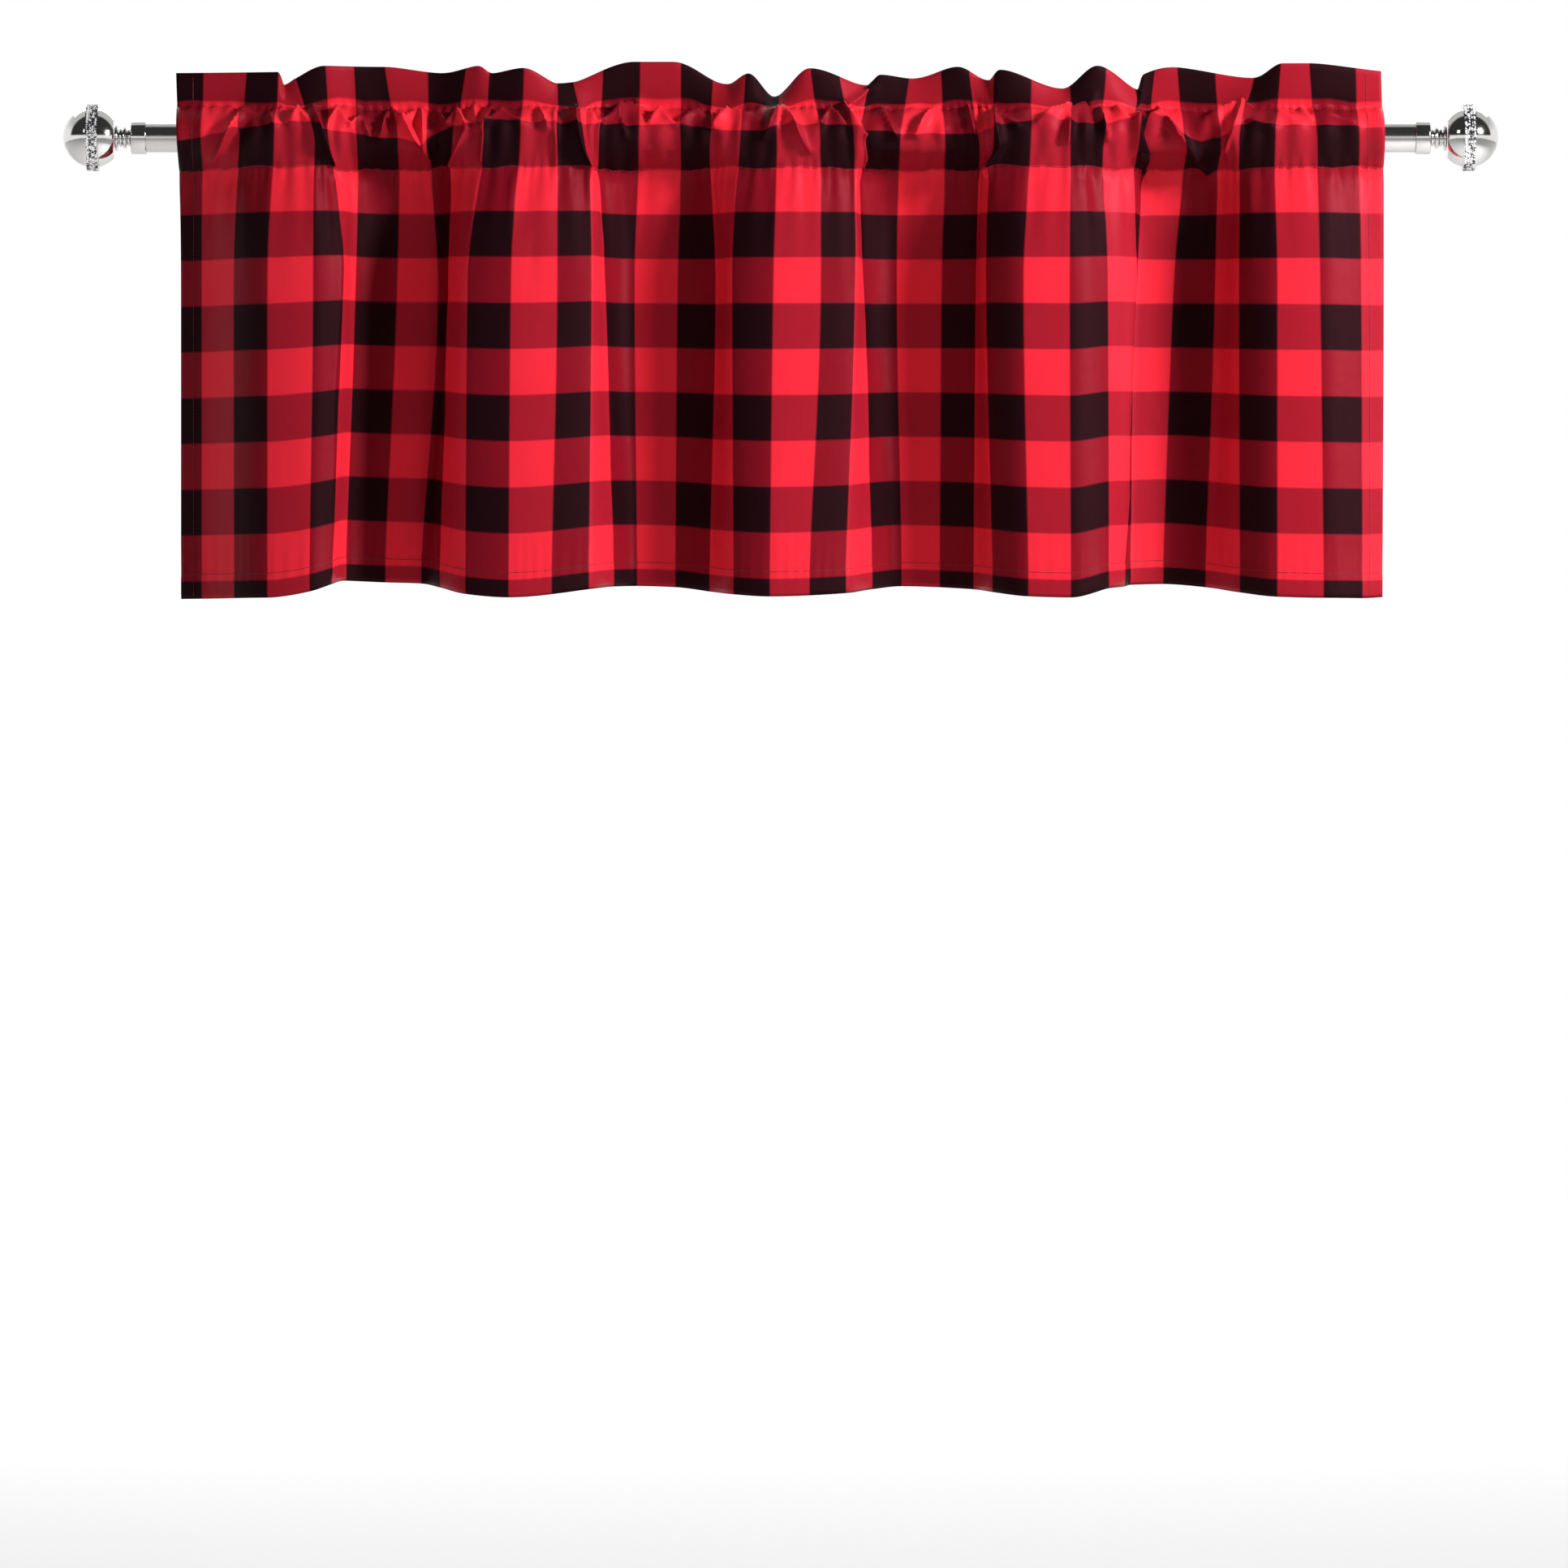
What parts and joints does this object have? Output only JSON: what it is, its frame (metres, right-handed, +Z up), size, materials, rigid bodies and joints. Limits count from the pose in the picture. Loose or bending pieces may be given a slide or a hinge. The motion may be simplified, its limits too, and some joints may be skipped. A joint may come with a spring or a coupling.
{
  "type": "window valance on a curtain rod",
  "caption": "Short gathered rod pocket valance in buffalo check cloth with a stand-up heading, hung on a polished rod with ball finials.",
  "frame": {"origin": "middle of the curtain rod's axis", "axes": "+X along the rod to the right as seen from the front, +Y towards the window behind, +Z up"},
  "size_m": [1.1936, 0.0969, 0.4465],
  "materials": {
    "checked_cloth": "smooth satin-like woven cloth, red and black checks",
    "rod_metal": "polished",
    "collar_metal": "polished",
    "finial_metal": "polished",
    "band_stones": "clear cut stones in rows"
  },
  "bodies": {
    "root": {"valance_cloth": "checked_cloth", "curtain_rod": "rod_metal", "collar_left": "collar_metal", "collar_right": "collar_metal", "finial_neck_left": "finial_metal", "finial_neck_right": "finial_metal", "finial_ball_left": "finial_metal", "finial_ball_right": "finial_metal", "stone_band_left": "band_stones", "stone_band_right": "band_stones"}
  },
  "joints": []
}
